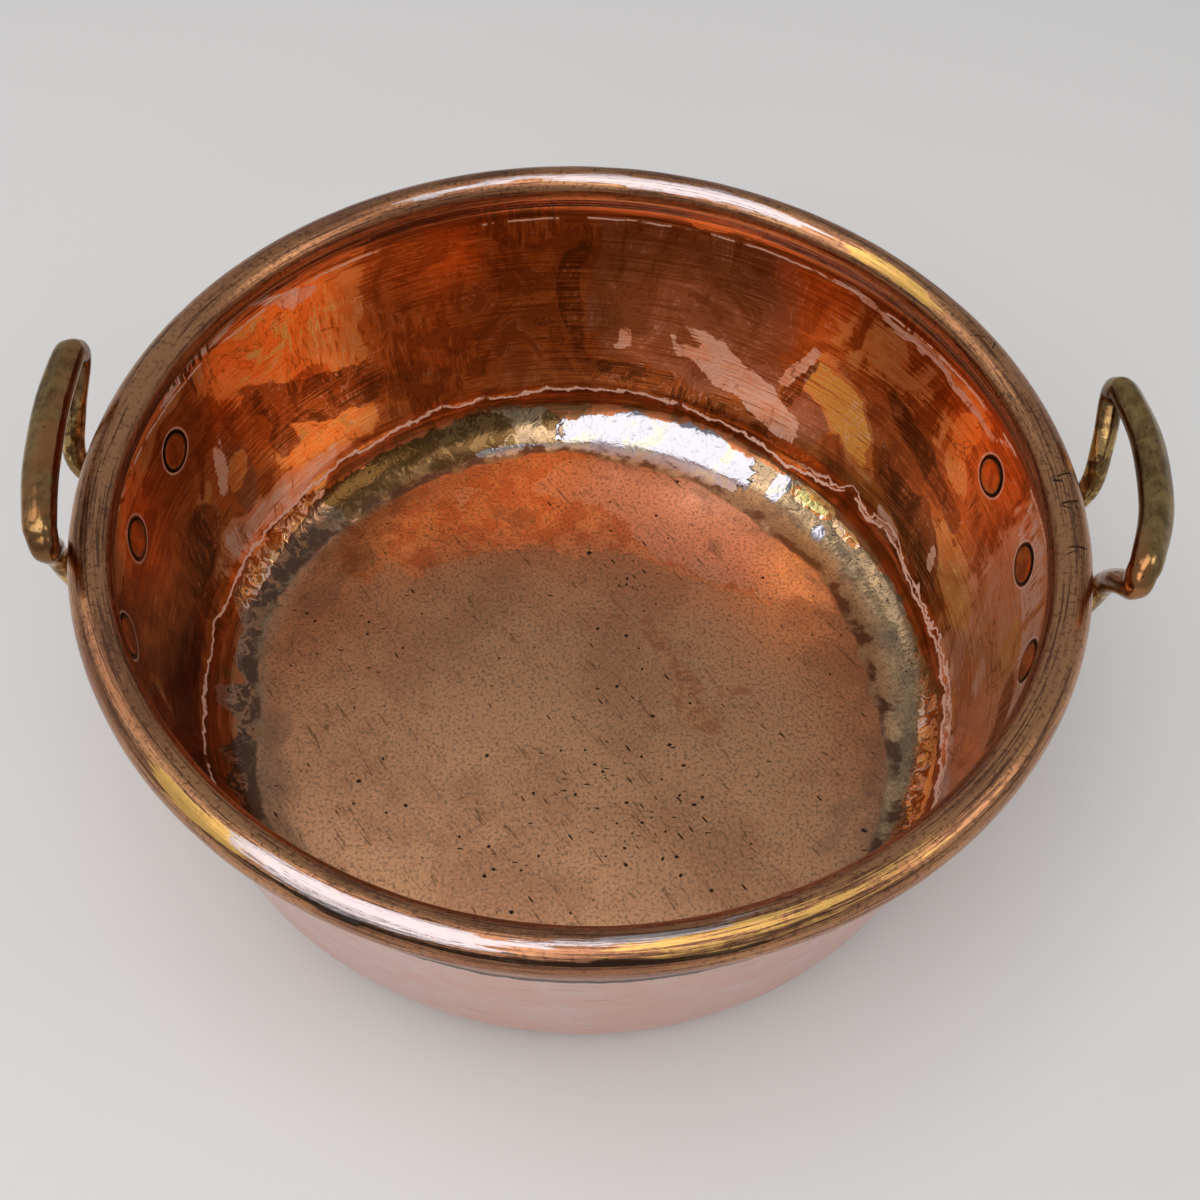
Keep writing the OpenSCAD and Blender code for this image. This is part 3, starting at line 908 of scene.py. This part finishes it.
# Short marks across the roll: bearing in degrees, place past the roll's top, lean, half the length, half the width
ROLL_NICKS = [
    (3.1, 0.0005, 0.3, 0.0035, 0.0006), (2.2, -0.003, -0.4, 0.0020, 0.0008), (-1.2, 0.0, 0.2, 0.0042, 0.0007),
    (-2.0, -0.002, -0.6, 0.0020, 0.0005), (-8.0, 0.001, 0.1, 0.0045, 0.0006), (-8.9, -0.002, 0.5, 0.0020, 0.0004),
    (25.5, 0.002, 0.8, 0.0030, 0.0005), (27.5, -0.001, -0.9, 0.0025, 0.0005),
]
# Middle of the floor's pitted part, and the distances from it at which the pits thin out and end
PITTED_PLACE = (0.030, -0.062, SHEET)
PITTED_REACH = (0.006, 0.058)


def near_zero(value, sure, gone):
    """One where a value is closer to zero than the sure limit, fading to none at the other limit."""
    return remap(maths("ABSOLUTE", value), sure, gone, 1.0, 0.0)


def wall_metal(sheet):
    """Wall and neck: polished in strokes, with bright patches of painted glow, pale patches of painted highlight, dark
    patches of tarnish darkened as painted shade, and a crease at either end.
    """
    along, mid = sheet.along, sheet.mid
    upright = maths("GREATER_THAN", sheet.broad, 0.60)
    stroke = stretched_cloud(sheet.x, sheet.y, along, mix_value(upright, 30.0, 420.0), mix_value(upright, 900.0, 30.0),
                             2.0, 0.7)
    swirl = clouds(vector_maths("MULTIPLY", sheet.place, (1.0, 1.0, 0.7))[0], 36.0, 3.0, 0.6, 1.6)
    tear = total(swing(mid, 0.5), swing(swirl, 1.2), swing(stroke, 0.5))
    worn, pale, dark, mauve, rose = torn_masks(sheet, tear, worn=0.06, pale=0.03, dark=0.05, mauve=0.15, rose=0.20)
    mottle = remap(total((swirl, 0.40), (stroke, 0.40), (mid, 0.2)), 0.455, 0.545)
    # Painted golden glow where the glow patches are strongest
    golden = product(torn(maths("SUBTRACT", sheet.worn, 0.66), tear, 0.12), remap(stroke, 0.40, 0.52, 0.4, 1.0))
    bright = mix_colour(golden, mix_colour(mottle, ORANGE_COPPER, BRIGHT_COPPER), GOLDEN_COPPER)
    # Painted highlights: light streaks along the strokes
    streaks = largest(threads(swirl, 0.585, 0.008), threads(swirl, 0.50, 0.003))
    hairs = largest(remap(stroke, 0.38, 0.33), threads(stroke, 0.52, 0.006))
    colour = layered(
        mix_colour(mottle, RUDDY_COPPER, DEEP_COPPER),
        (mauve, mix_colour(mottle, UMBER_TARNISH, MAUVE_COPPER)),
        (rose, mix_colour(mottle, WARM_COPPER, ROSE_COPPER)),
        (worn, bright),
        (dark, mix_colour(mottle, TARNISH_AND_SHADE_COPPER, RUDDY_COPPER)),
        (pale, mix_colour(mottle, ROSE_COPPER, PALE_COPPER)),
        (product(streaks, remap(stroke, 0.42, 0.56), 0.45), HIGHLIGHT_COPPER),
        (product(threads(swirl, 0.42, 0.010), 0.6), BROWN_COPPER),
        (product(hairs, 0.65), BROWN_COPPER))

    # Two creases above the cove, the second at the right only, each with a painted highlight line along it, and a
    # red-brown band under them
    sway = total(sheet.to_crease, swing(mid, 0.011))
    under = product(remap(sway, -0.0006, 0.0, 1.0, 0.0), mix_value(worn, 1.0, 0.0))
    first = product(near_zero(sway, 0.0005, 0.0012), remap(total((mid, 0.5), (swirl, 0.5)), 0.38, 0.44))
    second = near_zero(total(sway, swing(swirl, 0.016), -0.0022), 0.0004, 0.0010)
    second = product(second, remap(sheet.x, 0.10, 0.13))

    # Crease under the neck, with a painted highlight line along it and painted shade in dark red above it, streaked
    # with painted glow and pale painted highlights
    above = remap(along, NECK_CREASE + 0.0006, NECK_CREASE + 0.0016)
    hot = product(worn, remap(stroke, 0.44, 0.50))
    red = layered(fade(stroke, 0.42, 0.58, BROWN_COPPER, RED_COPPER), (hot, HOT_COPPER),
                  (product(pale, remap(stroke, 0.46, 0.52)), PALE_COPPER))
    line = near_zero(total(along, swing(mid, 0.003), -NECK_CREASE), 0.0002, 0.0008)
    lines = largest(first, second, product(line, remap(swirl, 0.44, 0.52)))

    # A painted highlight ring and a dirty ring round each rivet head
    mirrored = vector_maths("ABSOLUTE", sheet.place)[0]
    inner_r = wall_radius(RIVET_Z, 0)
    heads = [(inner_r * math.cos(a), inner_r * math.sin(a), RIVET_Z) for a in (0, RIVET_A)]
    gap = maths("MINIMUM", *(vector_maths("DISTANCE", mirrored, head)["Value"] for head in heads))
    ring_highlight = product(band(gap, FLAT_HEAD_R + 0.0013, FLAT_HEAD_R + 0.0022, 0.0003), 0.6)
    ring_dirt = band(gap, FLAT_HEAD_R - 0.0010, FLAT_HEAD_R + 0.0010, 0.0002)
    colour = layered(colour, (under, mix_colour(mottle, BROWN_COPPER, RED_COPPER)), (above, red),
                     (product(lines, 0.9), LINE_COPPER), (ring_highlight, HIGHLIGHT_COPPER), (ring_dirt, BLACK_DIRT_AND_SHADE))

    dulled = largest(lines, product(pale, 0.45), product(golden, worn), product(rose, 0.35), product(hot, above, 0.8),
                     product(worn, 0.12), ring_highlight)
    rough = total((stroke, 0.10), (dark, 0.06), (dulled, 0.25), 0.06)
    return metal(colour, rough, product(stroke, mix_value(above, 0.06, 0.16)), mix_value(dulled, 1.0, 0.5))


def cove_metal(sheet):
    """Cove: hammered and crinkled, tarnished tan or olive, with a painted silvery highlight, painted golden glints and
    painted dark lines.
    """
    along, x, mid = sheet.along, sheet.x, sheet.mid
    wrinkle = clouds(sheet.place, 150.0, 2.0, 0.6, 1.3)
    fine = clouds(sheet.place, 620.0, 2.0, 0.7)
    tear = total(swing(mid, 0.7), swing(wrinkle, 0.9))
    worn, pale, dark = torn_masks(sheet, tear, worn=0.05, pale=0.05, dark=0.05)
    upper = remap(total(along, swing(mid, 0.03)), FLOOR_END + 0.012, FLOOR_END + 0.018)
    sooty = layered(fade(wrinkle, 0.46, 0.56, SOOTY_TARNISH, UMBER_TARNISH),
                    (product(upper, remap(x, -0.158, -0.166)), ASH_TARNISH))
    # Dark patches: olive tarnish, darkened further as painted shade
    olive = layered(
        fade(total((mid, 0.6), (wrinkle, 0.4)), 0.50, 0.54, OLIVE_TARNISH, KHAKI_TARNISH),
        (remap(total(along, swing(mid, 0.02)), 0.160, 0.165), BLACK_OLIVE),
        (remap(total(x, swing(mid, 0.03)), -0.083, -0.079), fade(wrinkle, 0.46, 0.54, DARK_HONEY, HONEY_TARNISH)))
    # Painted golden glints along the crinkles where the glow patches lie
    glint_colours = fade(mid, 0.46, 0.52, GOLD_GLINT, LINE_COPPER)
    painted_glints = layered(fade(wrinkle, 0.47, 0.51, RUDDY_COPPER, glint_colours), (remap(sheet.worn, 0.95, 1.10), STRAW_COPPER))
    # Painted dark lines along the crinkles, stronger high up, and a painted dark line round the edge of the silvery
    # highlight
    high = remap(sheet.to_wall, -0.020, -0.006)
    painted_dark_lines = product(threads(wrinkle, 0.50, 0.010), mix_value(pale, mix_value(high, 0.35, 0.9), 0.35))
    outline = product(pale, maths("SUBTRACT", 1.0, pale), 3.6)
    painted_dark_lines = maths("MAXIMUM", painted_dark_lines, outline, clamp=True)
    # Painted highlight: silvery and creamy colour on the pale patches
    colour = layered(
        fade(mid, 0.40, 0.60, DUN_TARNISH, TAN_TARNISH),
        (remap(along, FLOOR_END + 0.006, FLOOR_END - 0.003, 0.0, 0.8), DUN_TARNISH),
        (remap(x, -0.120, -0.140), sooty),
        (remap(fine, 0.49, 0.38, 0.0, 0.65), GREY_TARNISH_AND_SHADE),
        (dark, olive),
        (worn, painted_glints),
        (pale, fade(mid, 0.50, 0.62, SILVERY_COPPER, CREAMY_COPPER)),
        (painted_dark_lines, BLACK_DIRT_AND_SHADE))
    foot = remap(along, FLOOR_END + 0.003, FLOOR_END + 0.012, 0.22, 0.0)
    rough = total(mix_value(pale, 0.20, 0.08), (painted_dark_lines, 0.3), foot)
    relief = mix_value(maths("MAXIMUM", sheet.worn, 0.0, clamp=True), 0.20, 0.70)
    return metal(colour, rough, product(wrinkle, relief))


def floor_metal(sheet):
    """Floor: dull tan, speckled, pitted and scratched, with painted glow over its back part and in patches, and painted
    shade by the cove.
    """
    x, y, broad, mid = sheet.x, sheet.y, sheet.broad, sheet.mid
    fine = clouds(sheet.place, 620.0, 2.0, 0.7)
    worn, pale, dark = torn_masks(sheet, total(swing(mid, 1.0), swing(fine, 0.4)), worn=0.07, pale=0.12, dark=0.25)
    # Colours of the painted glow, pink where the pale patches paint highlights
    copper = layered(fade(mid, 0.42, 0.58, FLOOR_ORANGE, FLOOR_AMBER), (product(pale, 0.85), FLOOR_PINK))
    # Painted shade, greyer towards the cove
    shade = remap(total(sheet.to_cove, swing(mid, 0.03)), -0.016, 0.0, 0.0, 0.35)

    # Pits, nicks and scratches, thick in one place and thin over the rest
    cluster = remap(vector_maths("DISTANCE", sheet.place, PITTED_PLACE)["Value"], *PITTED_REACH, 1.0, 0.0)
    share = total((cluster, 0.42), (remap(broad, 0.40, 0.70), 0.12), 0.03)
    lean = total((x, 0.8), (y, 0.6))
    flat = total((y, 0.8), (x, -0.6))
    steep = vector(lean, product(flat, 0.22))
    level = vector(product(x, 0.24), y)
    nicks = [pits(way, scale, 0.30, product(share, 0.36)) for way, scale in ((steep, 640.0), (level, 830.0))]
    aslant = stretched_cloud(lean, product(flat, 0.06), sheet.along, 340.0, 8.0, 1.0, 0.5)
    scratches = product(threads(aslant, 0.5, 0.012), remap(mid, 0.48, 0.56), 0.5)
    marks = largest(pits(sheet.wobbled, 260.0, 0.27, share), *nicks, scratches)
    colour = layered(
        fade(total((broad, 0.6), (mid, 0.4)), 0.40, 0.62, FLOOR_TAN, FLOOR_BROWN),
        (product(worn, 0.80), copper),
        (product(dark, 0.4), GREY_TARNISH_AND_SHADE),
        (remap(fine, 0.49, 0.38, 0.0, 0.72), GREY_TARNISH_AND_SHADE),
        (remap(fine, 0.57, 0.68, 0.0, 0.40), FLOOR_PINK),
        (shade, GREY_TARNISH_AND_SHADE),
        (product(marks, 0.95), BLACK_DIRT_AND_SHADE))
    rough = total(mix_value(worn, 0.36, 0.27), (marks, 0.2), swing(mid, 0.14))
    return metal(colour, rough, product(fine, 0.05))


def edge_metal(sheet):
    """Line of tarnish where the floor turns up into the cove."""
    colour = fade(sheet.mid, 0.42, 0.60, SOOTY_TARNISH, DUN_TARNISH)
    return metal(colour, total((sheet.mid, 0.3), 0.20), product(sheet.mid, 0.2))


def roll_metal(sheet):
    """Roll: brown and gold, drawn along its length, streaked with dark lines and nicked, with painted glow, painted
    highlights and a painted dark reflection line.
    """
    ring = stretched_cloud(sheet.x, sheet.y, sheet.along, 20.0, 800.0, 4.0, 0.72)
    grain = clouds(sheet.place, 480.0, 2.0, 0.7)
    tear = total(swing(sheet.mid, 0.8), swing(ring, 2.4))
    worn, pale, dark = torn_masks(sheet, tear, worn=0.12, pale=0.10, dark=0.08)
    nicks = [nick(sheet.place, sheet.along, math.radians(bearing), ROLL_TOP + past, lean, length, width)
             for bearing, past, lean, length, width in ROLL_NICKS]
    # Dark marks: lines along the roll, nicks, and the painted dark reflection line
    marks = largest(threads(ring, 0.42, 0.008), dark, *nicks)
    # Painted golden glow and painted highlights laid on the glow and pale patches
    colour = layered(
        fade(total((sheet.broad, 0.4), (ring, 0.4), (grain, 0.2)), 0.43, 0.57, ROLL_BROWN, ROLL_GOLD),
        (remap(ring, 0.47, 0.37, 0.0, 0.8), ROLL_DARK),
        (remap(grain, 0.45, 0.34, 0.0, 0.55), ROLL_DARK),
        (product(worn, 0.9), ROLL_AMBER),
        (product(pale, 0.9), ROLL_PEARL),
        (product(marks, 0.85), BLACK_DIRT_AND_SHADE))
    rough = total((grain, 0.14), (pale, -0.03), 0.13)
    return metal(colour, rough, total((ring, 0.22), (grain, 0.05)), mix_value(worn, 1.0, 0.7))


def outer_metal(sheet):
    """Outside: satin pink, with a painted black shadow line under the roll and brown tarnish above it."""
    lines = stretched_cloud(sheet.x, sheet.y, sheet.along, 40.0, 500.0, 2.0)
    # Painted shadow under the roll: a black line at its foot, then brown tarnish up to the roll
    under_roll = total(sheet.along, swing(sheet.mid, 0.006), -WALL_END)
    painted_roll_shadow = product(remap(under_roll, -0.0192, -0.0180), remap(under_roll, -0.014, 0.004, 1.0, 0.25))
    colour = layered(
        fade(total((sheet.broad, 0.5), (sheet.mid, 0.5)), 0.42, 0.60, OUTER_PINK, OUTER_ROSE),
        (remap(lines, 0.38, 0.30, 0.0, 0.4), BROWN_COPPER),
        (painted_roll_shadow, fade(under_roll, -0.0165, -0.0150, BLACK_DIRT_AND_SHADE, UMBER_TARNISH)))
    return metal(colour, total((sheet.mid, 0.12), 0.24), product(lines, 0.05))


def shade_sheet(tree):
    """The pan's one sheet: zones and patches follow the values that its mesh carries."""
    place, x, y, _ = object_place(tree)
    mid = clouds(place, 80.0, 3.0, 0.62)
    wobbled = vector_maths("MULTIPLY_ADD", (0.006, -0.004, 0.005), mid, place)[0]
    values = {name: piece_attribute(tree, name) for name in SHEET_VALUES}
    sheet = SimpleNamespace(place=place, x=x, y=y, mid=mid, wobbled=wobbled, **values)
    to_cove = total(sheet.to_cove, swing(mid, 0.008))
    to_wall = total(sheet.to_wall, swing(mid, 0.014))
    to_roll = total(sheet.along, swing(mid, 0.002), -NECK_END)
    zones = [(remap(to_wall, -0.0006, 0.0004, 1.0, 0.0), cove_metal),
             (remap(total(to_cove, swing(mid, 0.020)), 0.0020, 0.0050, 1.0, 0.0), edge_metal),
             (remap(to_cove, -0.0016, 0.0004, 1.0, 0.0), floor_metal),
             (remap(to_roll, 0.0045, 0.0060), roll_metal),
             (maths("GREATER_THAN", sheet.outside, 0.5), outer_metal)]
    surface = wall_metal(sheet)
    for mask, zone_metal in zones:
        surface = add_node("MixShader", {0: mask, 1: surface, 2: zone_metal(sheet)}).outputs[0]
    return surface


def shade_rivets(tree):
    """Beaten copper with dirt round the heads."""
    place, x, y, z = object_place(tree)
    mid = clouds(place, 160.0, 3.0, 0.6)
    lines = stretched_cloud(x, y, z, 120.0, 900.0)
    dirt = piece_attribute(tree, "rim_dirt")
    colour = layered(fade(mid, 0.40, 0.62, DEEP_COPPER, RUDDY_COPPER),
                     (remap(lines, 0.40, 0.30, 0.0, 0.5), BROWN_COPPER), (dirt, BLACK_DIRT_AND_SHADE))
    return metal(colour, total((lines, 0.15), (dirt, 0.3), 0.10), total((mid, 0.20), (lines, 0.03)))


def shade_brass(tree):
    """Cast loops: polished by hands along the grips, tarnished on the legs and plates, with polished patches there
    painted gold as highlights.
    """
    place, x, y, z = object_place(tree)
    broad = clouds(place, 34.0, 3.0, 0.55, 0.5)
    mid = clouds(place, 170.0, 4.0, 0.65)
    lengthwise = stretched_cloud(x, z, y, 520.0, 45.0, 3.0, 0.65)
    grip = remap(z, pan_high.z + 0.016, pan_high.z + 0.021)
    legs = remap(z, pan_high.z + 0.012, pan_high.z - 0.010)
    # Polished patches on the legs and plates, painted gold as highlights
    polished = product(legs, remap(total((broad, 0.5), (mid, 0.5)), 0.48, 0.56))
    inner = remap(maths("ABSOLUTE", x), RIM_R + 0.010, RIM_R + 0.003)
    scars = product(threads(lengthwise, 0.42, 0.010), 0.6, remap(broad, 0.45, 0.55))
    marks = largest(product(pits(place, 430.0, 0.22, 0.14), 0.8), scars)
    colour = layered(
        fade(total((broad, 0.6), (lengthwise, 0.4)), 0.42, 0.58, BRASS_OLIVE, BRASS_BROWN),
        (product(grip, remap(mid, 0.40, 0.60, 0.28, 0.04)), BRASS_GOLD),
        (product(polished, 0.8), BRASS_GOLD),
        (product(inner, remap(broad, 0.44, 0.56, 0.75, 0.2)), BRASS_RED),
        (marks, BLACK_DIRT_AND_SHADE))
    rough = mix_value(polished, total((mid, 0.20), 0.09), 0.10)
    return metal(colour, rough, total((mid, 0.22), (lengthwise, 0.03), (marks, -0.12), (broad, 0.5)))


def shade_iron(tree):
    place = object_place(tree)[0]
    mid = clouds(place, 130.0, 4.0, 0.6)
    fine = clouds(place, 700.0, 3.0, 0.7)
    return metal(fade(mid, 0.42, 0.60, IRON_GREY, IRON_RUST), total((mid, 0.4), 0.25), product(fine, 0.04))


def shade_table(tree):
    tone = clouds(object_place(tree)[0], 3.0, 1.0)
    colour = mix_colour(remap(tone, 0.3, 0.7, 0.0, 0.25), TABLE_WHITE, TABLE_GREY)
    return add_node("BsdfPrincipled", {"Base Color": colour, "Roughness": 0.6, "Specular IOR Level": 0.2}).outputs[0]


# Stage: a pale floor, a pale world and soft lamps
TABLE_SIZE = 12.0
WORLD_GREY = (0.36, 0.37, 0.385)
# Lamps: name, bearing and elevation it stands at, distance, width, height, brightness, colour
LAMPS = [
    ("window", 232, 68, 2.0, 1.9, 2.6, 1.95, (1.0, 0.985, 0.97)),
    ("right_window", 347, 40, 2.2, 0.8, 0.9, 2.0, (1.0, 0.95, 0.88)),
    ("left_fill", 160, 45, 2.2, 0.8, 0.8, 1.2, (1.0, 0.95, 0.9)),
]
AIM_HEIGHT = 0.1


def make_stage():
    bm = bmesh.new()
    bmesh.ops.create_grid(bm, x_segments=2, y_segments=2, size=TABLE_SIZE / 2)
    mesh = finished_mesh(bm, "table")
    mesh.materials.append(new_material("table_white", shade_table))
    placed("table", mesh)
    world = bpy.data.worlds.new("studio")
    world.use_nodes = True
    world.node_tree.nodes["Background"].inputs["Color"].default_value = (*WORLD_GREY, 1)
    bpy.context.scene.world = world


def make_lamp(name, azimuth, elevation, distance, width, height, brightness, colour):
    lamp = placed(name, bpy.data.lights.new(name, "AREA"))
    settle(lamp.data, shape="RECTANGLE", size=width, size_y=height, color=colour,
           energy=brightness * math.pi * width * height)
    a = math.radians(azimuth)
    e = math.radians(elevation)
    way = Vector((math.cos(e) * math.cos(a), math.cos(e) * math.sin(a), math.sin(e)))
    lamp.location = way * distance + Vector((0, 0, AIM_HEIGHT))
    lamp.rotation_euler = way.to_track_quat("Z", "Y").to_euler()
    lamp.visible_camera = False


# Camera found by fitting the pan's outlines, turned from straight down
CAMERA_PLACE = (-0.00492, -0.36340, 0.57787)
CAMERA_TURN = (35.6305, -1.9293, 0.6326)
CAMERA_LENS = 42.41
CAMERA_SENSOR = 36.0


def make_camera():
    camera = placed("camera", bpy.data.cameras.new("camera"))
    settle(camera.data, lens=CAMERA_LENS, sensor_width=CAMERA_SENSOR)
    camera.location = CAMERA_PLACE
    camera.rotation_euler = [math.radians(a) for a in CAMERA_TURN]
    bpy.context.scene.camera = camera


def main():
    make_camera()
    make_stage()
    for lamp in LAMPS:
        make_lamp(*lamp)
    make_pan(new_material("worn_copper", shade_sheet))
    brass = new_material("cast_brass", shade_brass)
    rivet = new_material("rivet_copper", shade_rivets)
    for name, values in LOOPS.items():
        make_handle(name, material=brass, **values)
        make_rivets(name + "_rivets_beaten", values["side"], rivet, name + "_rivets")
    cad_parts["rim_wire"].material_slots[0].material = new_material("drawn_iron", shade_iron)
    bpy.context.scene.view_settings.view_transform = "Standard"


main()
